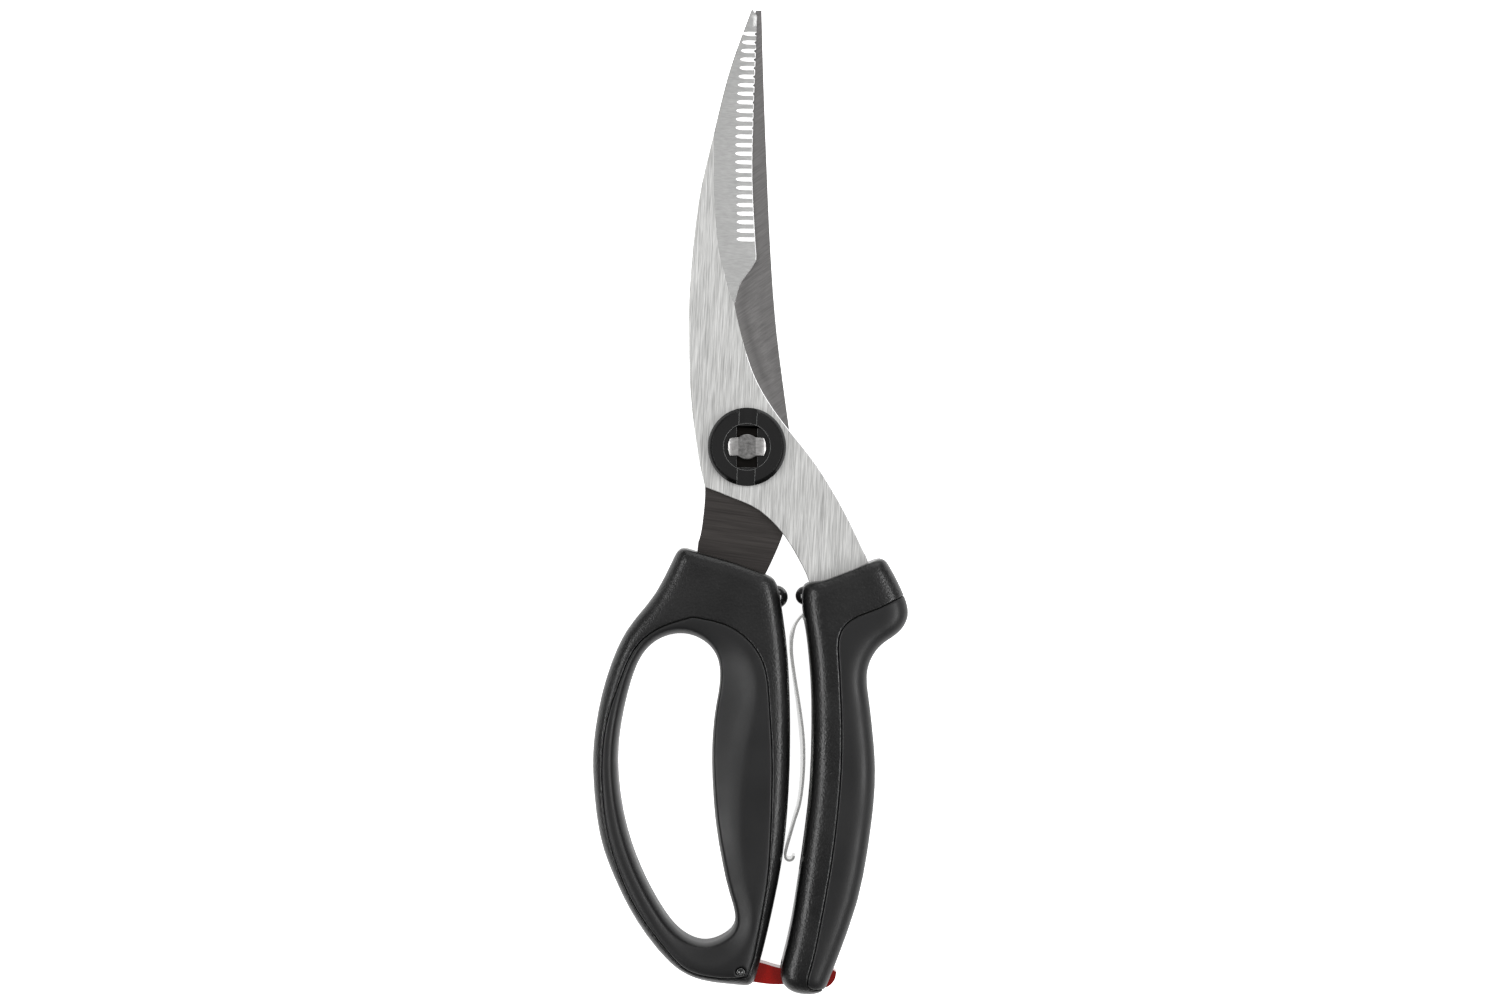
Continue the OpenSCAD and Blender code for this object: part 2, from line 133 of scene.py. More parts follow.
def noise(tree, scale, stretch=(1, 1, 1), turn=0.0, detail=3.0, rough=0.5):
    """Noise in the object's own metres, stretched and turned about Z. Returns its Fac socket."""
    coord = tree.nodes.new("ShaderNodeTexCoord")
    place = tree.nodes.new("ShaderNodeMapping")
    place.vector_type = "TEXTURE"
    place.inputs["Rotation"].default_value = (0, 0, math.radians(turn))
    place.inputs["Scale"].default_value = tuple(1 / s for s in stretch)
    tex = tree.nodes.new("ShaderNodeTexNoise")
    tex.inputs["Scale"].default_value = scale
    tex.inputs["Detail"].default_value = detail
    tex.inputs["Roughness"].default_value = rough
    tree.links.new(coord.outputs["Object"], place.inputs["Vector"])
    tree.links.new(place.outputs["Vector"], tex.inputs["Vector"])
    return tex.outputs["Fac"]


def remap(tree, fac, lo, hi, from_lo=0.3, from_hi=0.7):
    """A number between lo and hi that follows fac."""
    node = tree.nodes.new("ShaderNodeMapRange")
    node.inputs["From Min"].default_value = from_lo
    node.inputs["From Max"].default_value = from_hi
    node.inputs["To Min"].default_value = lo
    node.inputs["To Max"].default_value = hi
    tree.links.new(fac, node.inputs["Value"])
    return node.outputs["Result"]


def ramp(tree, fac, low, high, from_lo=0.3, from_hi=0.7):
    """A colour between low and high that follows fac."""
    node = tree.nodes.new("ShaderNodeValToRGB")
    node.color_ramp.elements[0].position = from_lo
    node.color_ramp.elements[1].position = from_hi
    node.color_ramp.elements[0].color = (*low, 1)
    node.color_ramp.elements[1].color = (*high, 1)
    tree.links.new(fac, node.inputs["Fac"])
    return node.outputs["Color"]


def bump(tree, shader, fac, strength, depth_mm):
    """Drives the shader's normal from fac as a height."""
    node = tree.nodes.new("ShaderNodeBump")
    node.inputs["Strength"].default_value = strength
    node.inputs["Distance"].default_value = depth_mm * MM
    tree.links.new(fac, node.inputs["Height"])
    tree.links.new(node.outputs["Normal"], shader.inputs["Normal"])


WEAR_SCALE = 60
WEAR_SMOOTHER = 0.05
WEAR_ROUGHER = 0.07
SPECK_GAIN = 1.5
SPECK_LIFT = 0.002


def grained_plastic(name, colour, roughness, grain_scale, grain_mm, gloss=0.3):
    """Plastic with a fine grain, slightly lighter specks on it and patches of unlike roughness."""
    mat, tree, shader = new_material(name, colour, roughness, Specular_IOR_Level=gloss)
    grain = noise(tree, grain_scale, detail=2.0)
    bump(tree, shader, grain, 1.0, grain_mm)
    wear = noise(tree, WEAR_SCALE, detail=4.0)
    worn = remap(tree, wear, roughness - WEAR_SMOOTHER, roughness + WEAR_ROUGHER)
    tree.links.new(worn, shader.inputs["Roughness"])
    speck = tuple(SPECK_GAIN * c + SPECK_LIFT for c in colour)
    specks = ramp(tree, grain, colour, speck, 0.45, 0.75)
    tree.links.new(specks, shader.inputs["Base Color"])
    return mat


BROAD_ACROSS = 7  # how much wider and longer the patches of roughness are than the scratches
BROAD_ALONG = 2.5
SCRATCH_BUMP = 0.5


def brushed_metal(name, colour, roughness, turn, length, width, depth_mm, spread, uneven=0.03):
    """Metal with fine scratches along a direction turned turn degrees from +Y, anticlockwise.

    Length and width are how many times a metre the scratches repeat along and across."""
    mat, tree, shader = new_material(name, colour, roughness, 1.0)
    across = width / BROAD_ACROSS
    scratch = noise(tree, 1.0, (width, length, width), turn, detail=3.0, rough=0.6)
    broad = noise(tree, 1.0, (across, length / BROAD_ALONG, across), turn, detail=2.0)
    dark = tuple(c * (1 - spread) for c in colour)
    light = tuple(min(1.0, c * (1 + spread)) for c in colour)
    patches = remap(tree, broad, roughness - uneven, roughness + uneven)
    tree.links.new(ramp(tree, scratch, dark, light), shader.inputs["Base Color"])
    tree.links.new(patches, shader.inputs["Roughness"])
    bump(tree, shader, scratch, SCRATCH_BUMP, depth_mm)
    return mat


def painted_highlight_metal():
    """Steel painted near white, a painted highlight for the scallops and the chamfer along the
    cutting edge.
    """
    mat, tree, shader = new_material("scallop_painted_highlight", (1.0, 1.0, 1.0), 0.35, 0.3)
    bump(tree, shader, noise(tree, 1.0, (90, 2600, 2600)), SCRATCH_BUMP, 0.003)
    return mat


HARD = grained_plastic(
    "hard_black", (0.0008, 0.0008, 0.0009), 0.33,
    grain_scale=1700, grain_mm=0.11, gloss=0.4,
)
SOFT = grained_plastic(
    "soft_black", (0.0028, 0.0028, 0.0031), 0.45,
    grain_scale=7000, grain_mm=0.006, gloss=0.34,
)
RING = grained_plastic(
    "ring_black", (0.001, 0.001, 0.001), 0.17,
    grain_scale=5200, grain_mm=0.002, gloss=0.3,
)
# Painted highlight: a lighter grey for the ring's rounded edges, standing in for the light they
# catch.
RING_PAINTED_HIGHLIGHT = grained_plastic(
    "ring_edge_painted_highlight", (0.15, 0.15, 0.15), 0.3,
    grain_scale=5200, grain_mm=0.002, gloss=0.4,
)
GLOSS = grained_plastic(
    "bumper_black", (0.004, 0.004, 0.004), 0.14,
    grain_scale=900, grain_mm=0.004, gloss=0.5,
)
BLADE = brushed_metal(
    "blade_flat", (0.6, 0.6, 0.59), 0.4,
    turn=-3, length=110, width=4000, depth_mm=0.006, spread=0.36,
)
BEVEL = brushed_metal(
    "blade_bevel", (0.37, 0.37, 0.366), 0.38,
    turn=88, length=70, width=2600, depth_mm=0.0015, spread=0.12, uneven=0.01,
)
PAINTED_HIGHLIGHT_STEEL = painted_highlight_metal()
# Painted shade: the rear blade's steel is far darker than the front blade's, for the shade under the
# front blade and the dark it reflects.
REAR_PAINTED_SHADE = brushed_metal(
    "rear_flat_painted_shade", (0.195, 0.19, 0.188), 0.34,
    turn=-55, length=110, width=2200, depth_mm=0.004, spread=0.16,
)
DARK_EDGE = brushed_metal(
    "rear_bevel", (0.32, 0.315, 0.31), 0.3,
    turn=92, length=60, width=2600, depth_mm=0.003, spread=0.08, uneven=0.01,
)
# Painted shade: the rear blade's shank below the pivot is darker still, for the shadow of the front
# blade over it.
SHANK_PAINTED_SHADE = brushed_metal(
    "rear_shank", (0.056, 0.051, 0.049), 0.42,
    turn=82, length=60, width=2200, depth_mm=0.006, spread=0.22,
)
# Painted shade: near-black steel round the pivot, where only the shade in the ring's slot shows.
PIVOT_PAINTED_SHADE = brushed_metal(
    "rear_pivot_painted_shade", (0.012, 0.011, 0.01), 0.3,
    turn=82, length=60, width=2200, depth_mm=0.006, spread=0.22,
)
STEEL = brushed_metal(
    "stud_steel", (0.34, 0.335, 0.33), 0.3,
    turn=90, length=500, width=1300, depth_mm=0.02, spread=0.3,
)
RIVET = brushed_metal(
    "stud_middle", (0.2, 0.197, 0.194), 0.34,
    turn=90, length=900, width=1100, depth_mm=0.03, spread=0.45,
)
STRIP = brushed_metal(
    "spring_strip", (0.55, 0.55, 0.54), 0.22,
    turn=0, length=60, width=2400, depth_mm=0.004, spread=0.06,
)
PIN = brushed_metal(
    "pin_steel", (0.55, 0.55, 0.54), 0.28,
    turn=0, length=2600, width=2600, depth_mm=0.01, spread=0.1,
)
# Painted shade: a much darker copy of the pin steel for the latch pin, which sits in a recess.
PIN_PAINTED_SHADE = brushed_metal(
    "latch_pin_painted_shade", (0.09, 0.09, 0.09), 0.2,
    turn=0, length=2600, width=2600, depth_mm=0.01, spread=0.1,
)
RED = grained_plastic(
    "latch_red", (0.17, 0.0025, 0.001), 0.17,
    grain_scale=3000, grain_mm=0.002, gloss=0.4,
)
NYLON = grained_plastic(
    "sleeve_nylon", (0.6, 0.57, 0.48), 0.45,
    grain_scale=2500, grain_mm=0.01,
)

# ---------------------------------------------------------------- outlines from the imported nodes


def wall_segments(node, z):
    """The lines in which a node's mesh crosses the plane at z, and their outward normals."""
    mesh = frame["nodes"][node].data
    mesh.calc_loop_triangles()
    co = np.array([v.co for v in mesh.vertices])
    co = (co - PIVOT) / MM
    tri = co[np.array([t.vertices for t in mesh.loop_triangles])]
    tri = tri[(tri[:, :, 2].min(1) < z) & (tri[:, :, 2].max(1) > z)]
    normal = np.cross(tri[:, 1] - tri[:, 0], tri[:, 2] - tri[:, 0])[:, :2]
    ends = []
    for i in range(3):
        a, b = tri[:, i], tri[:, (i + 1) % 3]
        crosses = (a[:, 2] - z) * (b[:, 2] - z) < 0
        t = np.where(crosses, (z - a[:, 2]) / np.where(crosses, b[:, 2] - a[:, 2], 1), np.nan)
        ends.append(a[:, :2] + t[:, None] * (b - a)[:, :2])
    ends = np.stack(ends, 1)
    pairs = np.array([e[~np.isnan(e[:, 0])] for e in ends])
    normal /= np.linalg.norm(normal, axis=1, keepdims=True)
    return pairs[:, 0], pairs[:, 1], normal


def distances(points, a, b):
    """Distance from every point to every segment from a to b."""
    run = b - a
    length2 = np.maximum((run**2).sum(1), 1e-12)
    rel = points[:, None, :] - a[None]
    t = np.clip((rel * run).sum(2) / length2, 0, 1)
    return np.linalg.norm(rel - t[:, :, None] * run[None], axis=2)


def keep(segments, mask):
    """The segments that a mask picks."""
    return tuple(s[mask] for s in segments)


def without_holes(segments, smallest=25.0):
    """Drops closed loops shorter round than smallest, such as pin holes."""
    a, b, _ = segments
    ends = np.round(np.concatenate([a, b]), 2)
    _, key = np.unique(ends, axis=0, return_inverse=True)
    key = key.reshape(2, -1)
    group = np.arange(key.max() + 1)
    for _ in range(len(a)):
        low = np.minimum(group[key[0]], group[key[1]])
        new = group.copy()
        np.minimum.at(new, key[0], low)
        np.minimum.at(new, key[1], low)
        if (new == group).all():
            break
        group = new
    member = group[key[0]]
    length = np.bincount(member, np.linalg.norm(b - a, axis=1), minlength=len(group))
    return keep(segments, length[member] > smallest)


def apart(segments, others, gap=0.1):
    """Which segments lie further than gap from all of the others."""
    middle = (segments[0] + segments[1]) / 2
    return distances(middle, others[0], others[1]).min(1) > gap


def joined(*sets):
    """Several sets of segments as one."""
    return tuple(np.concatenate(parts) for parts in zip(*sets))


class Field:
    """Signed distance to a set of segments on a fine grid, smoothed, so that it can be read anywhere.

    With part, a mask over the segments, the distance inside is to that part of them only."""

    STEP = 0.25
    MARGIN = 4.0
    BATCH = 20000
    TIE = 1e-4

    def __init__(self, segments, lo, hi, smooth=1.0, part=None):
        self.lo = np.array(lo[:2]) - self.MARGIN
        count = np.ceil((np.array(hi[:2]) + self.MARGIN - self.lo) / self.STEP).astype(int) + 1
        axes = [self.lo[i] + self.STEP * np.arange(count[i]) for i in range(2)]
        points = np.stack(np.meshgrid(*axes, indexing="ij"), -1).reshape(-1, 2)
        a, b, normal = segments
        run = b - a
        length2 = np.maximum((run**2).sum(1), 1e-12)
        values = np.empty(len(points))
        for start in range(0, len(points), self.BATCH):
            p = points[start : start + self.BATCH]
            rel = p[:, None, :] - a[None]
            t = np.clip((rel * run).sum(2) / length2, 0, 1)
            away = rel - t[:, :, None] * run[None]
            dist = np.linalg.norm(away, axis=2)
            nearest = dist.min(1, keepdims=True)
            tied = dist < nearest + self.TIE
            side = (tied * (away * normal).sum(2)).sum(1)
            within = nearest[:, 0] if part is None else dist[:, part].min(1)
            values[start : start + self.BATCH] = np.where(side < 0, -within, nearest[:, 0])
        grid = values.reshape(count)
        reach = int(3 * smooth / self.STEP)
        weights = np.exp(-0.5 * (np.arange(-reach, reach + 1) * self.STEP / smooth) ** 2)
        weights /= weights.sum()
        for axis in (0, 1):
            pads = [(reach, reach) if i == axis else (0, 0) for i in (0, 1)]
            padded = np.pad(grid, pads, "edge")
            size = grid.shape[axis]
            grid = sum(
                w * np.take(padded, range(k, k + size), axis=axis) for k, w in enumerate(weights)
            )
        self.grid = grid

    def at(self, x, y):
        """The distance at each point, between the grid's own."""
        u = np.clip((x - self.lo[0]) / self.STEP, 0, self.grid.shape[0] - 1.001)
        v = np.clip((y - self.lo[1]) / self.STEP, 0, self.grid.shape[1] - 1.001)
        i, j = u.astype(int), v.astype(int)
        s, t = u - i, v - j
        g = self.grid
        return (
            g[i, j] * (1 - s) * (1 - t)
            + g[i + 1, j] * s * (1 - t)
            + g[i, j + 1] * (1 - s) * t
            + g[i + 1, j + 1] * s * t
        )


# ---------------------------------------------------------------- meshes of implicit solids


PULLS = 4
SLOPE_STEP = 0.03
SLOPE_FLOOR = 0.2


def surface_net(shape, lo, hi, step):
    """Quads on the zero surface of shape(x, y, z), negative inside, pulled exactly onto it."""
    axes = [np.arange(lo[i] - 2 * step, hi[i] + 2 * step, step) for i in range(3)]
    x, y = np.meshgrid(axes[0], axes[1], indexing="ij")
    value = np.stack([shape(x.ravel(), y.ravel(), z) for z in axes[2]], -1)
    value = value.reshape(len(axes[0]), len(axes[1]), len(axes[2]))
    inside = value < 0
    cells = tuple(n - 1 for n in value.shape)
    total = np.zeros(cells + (3,))
    hits = np.zeros(cells)
    corner = [slice(0, -1), slice(1, None)]
    for axis in range(3):
        others = [i for i in range(3) if i != axis]
        for p in (0, 1):
            for q in (0, 1):
                first, second = [None] * 3, [None] * 3
                first[axis], second[axis] = corner[0], corner[1]
                first[others[0]] = second[others[0]] = corner[p]
                first[others[1]] = second[others[1]] = corner[q]
                a, b = value[tuple(first)], value[tuple(second)]
                cut = (a < 0) != (b < 0)
                t = np.where(cut, a / np.where(cut, a - b, 1), 0)
                hits += cut
                total[..., axis] += t
                total[..., others[0]] += cut * p
                total[..., others[1]] += cut * q
    active = hits > 0
    index = np.full(cells, -1)
    index[active] = np.arange(active.sum())
    where = np.argwhere(active)
    start = np.array([a[0] for a in axes])
    verts = start + step * (where + total[active] / hits[active][:, None])
    faces = []
    for axis in range(3):
        u, v = (axis + 1) % 3, (axis + 2) % 3
        first = [slice(1, -1)] * 3
        first[axis] = slice(0, -1)
        second = list(first)
        second[axis] = slice(1, None)
        a, b = inside[tuple(first)], inside[tuple(second)]
        at = np.argwhere(a != b)
        at[:, u] += 1
        at[:, v] += 1
        leaving = a[a != b]
        ring = []
        for du, dv in ((-1, -1), (0, -1), (0, 0), (-1, 0)):
            cell = at.copy()
            cell[:, u] += du
            cell[:, v] += dv
            ring.append(index[tuple(cell.T)])
        quad = np.stack(ring, 1)
        quad[~leaving] = quad[~leaving][:, ::-1]
        faces.append(quad)
    faces = np.concatenate(faces)
    for _ in range(PULLS):
        f = shape(*verts.T)
        grad = np.stack([
            (shape(*(verts + e).T) - shape(*(verts - e).T)) / (2 * SLOPE_STEP)
            for e in np.eye(3) * SLOPE_STEP
        ], 1)
        pull = f / np.maximum((grad**2).sum(1), SLOPE_FLOOR)
        verts = verts - np.clip(pull, -0.5 * step, 0.5 * step)[:, None] * grad
    return verts, faces.tolist()


def smooth_max(a, b, k):
    """The larger of a and b, blended where they are within k of each other."""
    h = np.maximum(k - np.abs(a - b), 0) / k
    return np.maximum(a, b) + h * h * k / 4


def rounded_edge(d, width, radius, z):
    """A slab of half thickness HALF_T inside the outline d < 0, whose edges curve in over width."""
    qx = (width + d) * (radius / width)
    qz = np.abs(z) - (HALF_T - radius)
    outside = np.hypot(np.maximum(qx, 0), np.maximum(qz, 0))
    return outside + np.minimum(np.maximum(qx, qz), 0) - radius


def box_distance(x, y, z, lo, hi):
    """Signed distance to an upright box."""
    d = [np.maximum(lo[i] - c, c - hi[i]) for i, c in enumerate((x, y, z))]
    out = sum(np.maximum(c, 0) ** 2 for c in d)
    return np.sqrt(out) + np.minimum(np.maximum(np.maximum(d[0], d[1]), d[2]), 0)


def bell(x, y, at, reach):
    """A smooth hump, 1 high, about a point of the plan."""
    return np.exp(-(((x - at[0]) / reach[0]) ** 2) - ((y - at[1]) / reach[1]) ** 2)


def add_mesh(name, verts_mm, faces, materials, body, node):
    """A piece with these corners and faces, which rides on a body and replaces a node."""
    mesh = bpy.data.meshes.new(name)
    mesh.from_pydata((verts_mm * MM + PIVOT).tolist(), [], faces)
    mesh.validate()
    return dress(mesh, name, materials, body, node)


def dress(mesh, name, materials, body, node):
    """Makes a smooth-shaded piece of a mesh, on a body and in place of a node."""
    for mat in materials:
        mesh.materials.append(mat)
    mesh.polygons.foreach_set("use_smooth", [True] * len(mesh.polygons))
    piece = bpy.data.objects.new(name, mesh)
    bpy.context.scene.collection.objects.link(piece)
    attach(piece, body)
    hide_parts(node)
    return piece


# ---------------------------------------------------------------- handles

GROOVE = 0.12  # half the width of the line between hard and soft plastic
GROOVE_DEPTH = 0.9
GROOVE_ROUND = 0.35
HIDDEN_LAP = 0.06
SEAM_SMOOTH = 0.6
EDGE_R = 5.0  # rounding of the long edges, in height and in plan
EDGE_W = 7.0
END_R = 1.6  # rounding of the edge at the blade end
END_W = 2.8  # width of the sloping face at the blade end
END_SLOPE = 0.55
END_BLEND = 0.5
CORNER_BLEND = 1.0
BLADE_END = 13.0  # length of the stretch in which an outline belongs to the blade end
BLADE_END_FACING = 0.75
NET_STEP = 0.4
NET_MARGIN = 0.5

RIM_R = 6.5  # rounding of the loop's opening, in height and in plan
RIM_W = 4.0
RIM_BLEND = 1.2
DISH_SLOPE = 0.4
DISH_W = 4.0  # width of the liner's sloping face where it is narrowest
DISH_BLEND = 0.4
DISHES = [  # extra width of that face, where it is centred and how far it reaches
    (7.0, (2, -74), (13, 24)),
    (3.5, (0, -106), (12, 26)),
    (2.5, (-9, -150), (16, 18)),
]
PIN_HOLE_R = 1.55
PIN_FLOOR_Z = 8.7
FAR = 200.0  # beyond the ends of the handles

STRIP_Z = box_mm("leaf_spring")[1][2]
SLOT_Z = box_mm("latch_arm")[1][2] + 0.25
TRACK_Z = STRIP_Z + 0.45

LOOP_SLOT = (  # lowest and highest corner of each pocket
    (LATCH[0] - 5.5, -FAR, -SLOT_Z),
    (LATCH[0] + 30, LATCH[1] + 3.8, SLOT_Z),
)
LOOP_RELIEF = ((9.5, -87, -TRACK_Z), (30, -52, TRACK_Z))
GRIP_SLOT = ((-50, -FAR, -SLOT_Z), (90, -154.2, SLOT_Z))
SPRING_TRACK = ((0, -127, -TRACK_Z), (21.5, -52, TRACK_Z))
SPRING_MOUTH = ((0, -54, -TRACK_Z), (EYE[0], -47.9, TRACK_Z))


def shell(outline, lo, hi):
    """A handle's solid: widely rounded long edges, and a sloping face at its blade end."""
    middle = (outline[0] + outline[1]) / 2
    end = (outline[2][:, 1] > BLADE_END_FACING) & (middle[:, 1] > hi[1] - BLADE_END)
    sides = Field(outline, lo, hi, part=~end)
    top = Field(outline, lo, hi, part=end)

    def solid(x, y, z):
        flank = rounded_edge(sides.at(x, y), EDGE_W, EDGE_R, z)
        inner = top.at(x, y)
        slope = (np.abs(z) - HALF_T + END_SLOPE * (END_W + inner)) / math.hypot(1, END_SLOPE)
        blade_end = smooth_max(rounded_edge(inner, END_R, END_R, z), slope, END_BLEND)
        return smooth_max(flank, blade_end, CORNER_BLEND)

    return solid


def handle_fields(core, soft):
    """The outline and seam of a handle, from its hard and soft nodes."""
    lo, hi = box_mm(core)
    lo2, hi2 = box_mm(soft)
    lo, hi = np.minimum(lo, lo2), np.maximum(hi, hi2)
    core_walls = without_holes(wall_segments(core, SECTION_Z))
    soft_walls = without_holes(wall_segments(soft, SECTION_Z))
    hard = keep(core_walls, apart(core_walls, soft_walls))
    bare = keep(soft_walls, apart(soft_walls, core_walls))
    core_high = without_holes(wall_segments(core, SEAM_Z))
    soft_high = without_holes(wall_segments(soft, SEAM_Z))
    seam = keep(core_high, ~apart(core_high, soft_high))
    return lo, hi, hard, bare, Field(seam, lo, hi, smooth=SEAM_SMOOTH)


def split(body, seam, soft):
    """The hard or soft side of a body: apart by a groove at the surface, lapped unseen below it."""
    depth = np.clip(-body / GROOVE_DEPTH, 0, 1)
    gap = GROOVE * (1 - depth) - HIDDEN_LAP * depth
    wall = (gap - seam) if soft else (seam + gap)
    return smooth_max(body, wall, GROOVE_ROUND)


def add_halves(solid, seam, pieces, body):
    """The hard and the soft piece of a handle: name, material and node of each."""
    for soft, (name, mat, node) in enumerate(pieces):
        low, high = box_mm(node)
        verts, faces = surface_net(
            lambda x, y, z: split(solid(x, y, z), seam.at(x, y), soft),
            low - NET_MARGIN, high + NET_MARGIN, NET_STEP,
        )
        add_mesh(name, verts, faces, [mat], body, node)


def make_loop_handle():
    lo, hi, hard, bare, seam = handle_fields("loop_handle_core", "loop_handle_liner")
    outer = shell(hard, lo, hi)
    opening = Field(bare, lo, hi)

    def solid(x, y, z):
        dish = DISH_W
        for extra, at, reach in DISHES:
            dish = dish + extra * bell(x, y, at, reach)
        inner = opening.at(x, y)
        slope = (np.abs(z) - HALF_T + DISH_SLOPE * (dish + inner)) / math.hypot(1, DISH_SLOPE)
        rim = smooth_max(rounded_edge(inner, RIM_W, RIM_R, z), slope, DISH_BLEND)
        pin_wall = np.hypot(x - LATCH[0], y - LATCH[1]) - PIN_HOLE_R
        pin = np.maximum(pin_wall, PIN_FLOOR_Z - np.abs(z))
        body = np.maximum(smooth_max(outer(x, y, z), rim, RIM_BLEND), -pin)
        slot = box_distance(x, y, z, *LOOP_SLOT)
        relief = box_distance(x, y, z, *LOOP_RELIEF)
        return np.maximum(np.maximum(body, -slot), -relief)

    pieces = [("loop_core", HARD, "loop_handle_core"), ("loop_soft_grip", SOFT, "loop_handle_liner")]
    add_halves(solid, seam, pieces, "loop_half")


def make_grip_handle():
    lo, hi, hard, bare, seam = handle_fields("grip_handle_core", "grip_handle_pad")
    outer = shell(joined(hard, bare), lo, hi)

    def solid(x, y, z):
        body = outer(x, y, z)
        slot = box_distance(x, y, z, *GRIP_SLOT)
        track = box_distance(x, y, z, *SPRING_TRACK)
        mouth = box_distance(x, y, z, *SPRING_MOUTH)
        return np.maximum(np.maximum(body, -slot), np.maximum(-track, -mouth))

    pieces = [("grip_core", HARD, "grip_handle_core"), ("grip_soft_pad", SOFT, "grip_handle_pad")]
    add_halves(solid, seam, pieces, "grip_half")


make_loop_handle()
make_grip_handle()

# ---------------------------------------------------------------- pieces with softened CAD edges


SHARP = math.radians(25)  # edges sharper than this are rounded
FLAT = math.radians(0.3)
SHADE_SHARP = math.radians(50)
WELD = 1e-6


def to_mm(point):
    """A point of a mesh in millimetres about the pivot."""
    return (np.array(point) - PIVOT) / MM


def softened(node, name, body, materials, width_mm, pick=None, segments=2, move=None, cuts=()):
    """A copy of a node's mesh with its sharp edges rounded by width_mm.

    It is cut across at each x of cuts, then move shifts its corners, and pick gives each face's
    material."""
    bm = bmesh.new()
    bm.from_mesh(frame["nodes"][node].data)
    bmesh.ops.remove_doubles(bm, verts=bm.verts, dist=WELD)
    bmesh.ops.dissolve_limit(bm, angle_limit=FLAT, verts=bm.verts, edges=bm.edges)
    edges = [e for e in bm.edges if len(e.link_faces) == 2 and e.calc_face_angle(0) > SHARP]
    bmesh.ops.bevel(
        bm, geom=edges, offset=width_mm * MM, segments=segments, profile=0.5,
        affect="EDGES", clamp_overlap=True,
    )
    for x in cuts:
        bmesh.ops.bisect_plane(
            bm, geom=[*bm.verts, *bm.edges, *bm.faces], dist=1e-7,
            plane_co=Vector(PIVOT) + Vector((x * MM, 0, 0)), plane_no=(1, 0, 0),
        )
    if move:
        for vert in bm.verts:
            vert.co = Vector(move(*to_mm(vert.co)) * MM + PIVOT)
    if pick:
        bm.normal_update()
        for face in bm.faces:
            face.material_index = pick(face)
    mesh = bpy.data.meshes.new(name)
    bm.to_mesh(mesh)
    bm.free()
    piece = dress(mesh, name, materials, body, node)
    mesh.set_sharp_from_angle(angle=SHADE_SHARP)
    even = piece.modifiers.new("even_normals", "WEIGHTED_NORMAL")
    even.keep_sharp = True


# ---------------------------------------------------------------- blades

BLADE_HI = box_mm("front_blade")[1][2]
BLADE_LO = box_mm("front_blade")[0][2]
EDGE_CHAMFER = 0.17
THINNEST = 0.1
BATCH = 4000
POINT_TIE = 1e-4
GRID_STEP = 2.1
SIDE_FACING = 0.4
CREASE = math.radians(30)
BEVEL_SLOPE = math.tan(math.radians(10))
SCALLOPS = 25
SCALLOP_PITCH = 2.57
SCALLOP_TOP_Y = 124.0
SCALLOP_W = 0.63  # half width
SCALLOP_END = 2.2  # length of the rounded blind end
SCALLOP_DEPTH = 0.32
NOTCH_Y = (28.0, 56.0)  # the bone notch, from its lower end to its upper one
BRIGHT_TOP_Y = SCALLOP_TOP_Y - 4  # where the painted highlight along the cutting edge ends, below the point
SCALLOP_X = -1.2  # the scallops' blind ends lie on a bow to the left of this line
SCALLOP_BOW = 2.3
SCALLOP_BOW_DEG = 126
SCALLOP_BOW_RATE = 1.25
SCALLOP_LINES = (-1, -0.6, 0, 0.6, 1)  # across a scallop, from edge to edge
LINE_REACH = 8


def spline(points, n):
    """Points of a Catmull-Rom curve through the points, n to each stretch."""
    p = np.array(points, float)
    p = np.vstack([p[:1], p, p[-1:]])
    t = (np.arange(n) / n)[:, None]
    parts = []
    for a, b, c, d in zip(p, p[1:], p[2:], p[3:]):
        square = 2 * a - 5 * b + 4 * c - d
        cube = 3 * b - a - 3 * c + d
        parts.append(0.5 * (2 * b + (c - a) * t + square * t**2 + cube * t**3))
    return np.vstack(parts + [p[-1:]])


def face_loops(node, up, shortest=12.0):
    """The closed outlines of the flat side of a node that looks up (1) or down (-1)."""
    bm = bmesh.new()
    bm.from_mesh(frame["nodes"][node].data)
    bmesh.ops.remove_doubles(bm, verts=bm.verts, dist=WELD)
    links = {}
    for edge in bm.edges:
        if sum(f.normal.z * up > 0.9999 for f in edge.link_faces) == 1:
            first, second = (v.index for v in edge.verts)
            links.setdefault(first, []).append(second)
            links.setdefault(second, []).append(first)
    place = {v.index: to_mm(v.co)[:2] for v in bm.verts if v.index in links}
    bm.free()
    found = []
    while links:
        chain = [min(links)]
        while links.get(chain[-1]):
            step = links[chain[-1]].pop()
            links[step].remove(chain[-1])
            chain.append(step)
        links = {k: v for k, v in links.items() if v}
        points = np.array([place[i] for i in chain[:-1]])
        if np.linalg.norm(np.roll(points, -1, 0) - points, axis=1).sum() > shortest:
            found.append(points)
    return found


